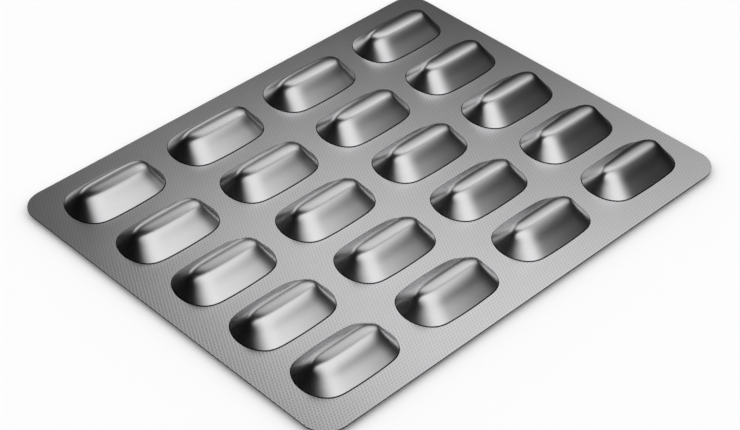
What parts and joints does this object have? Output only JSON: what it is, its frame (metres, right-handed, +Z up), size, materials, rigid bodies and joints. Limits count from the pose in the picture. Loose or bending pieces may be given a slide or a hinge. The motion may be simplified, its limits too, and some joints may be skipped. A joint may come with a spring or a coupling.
{
  "type": "pill blister pack",
  "caption": "Flat sealed foil pack for tablets, with rows of raised oblong pockets cold formed in a thin aluminium card with rounded corners.",
  "frame": {"origin": "middle of the card's underside, where the pack lies on the table", "axes": "+X along the length of the pockets and the longer side of the card, +Y across the pockets, +Z up out of the card through the pockets"},
  "size_m": [0.1112, 0.0898, 0.0045],
  "materials": {
    "cold_formed_foil": "satin cold formed foil with a knurled seal"
  },
  "bodies": {
    "root": {"blister_pack": "cold_formed_foil"}
  },
  "joints": []
}
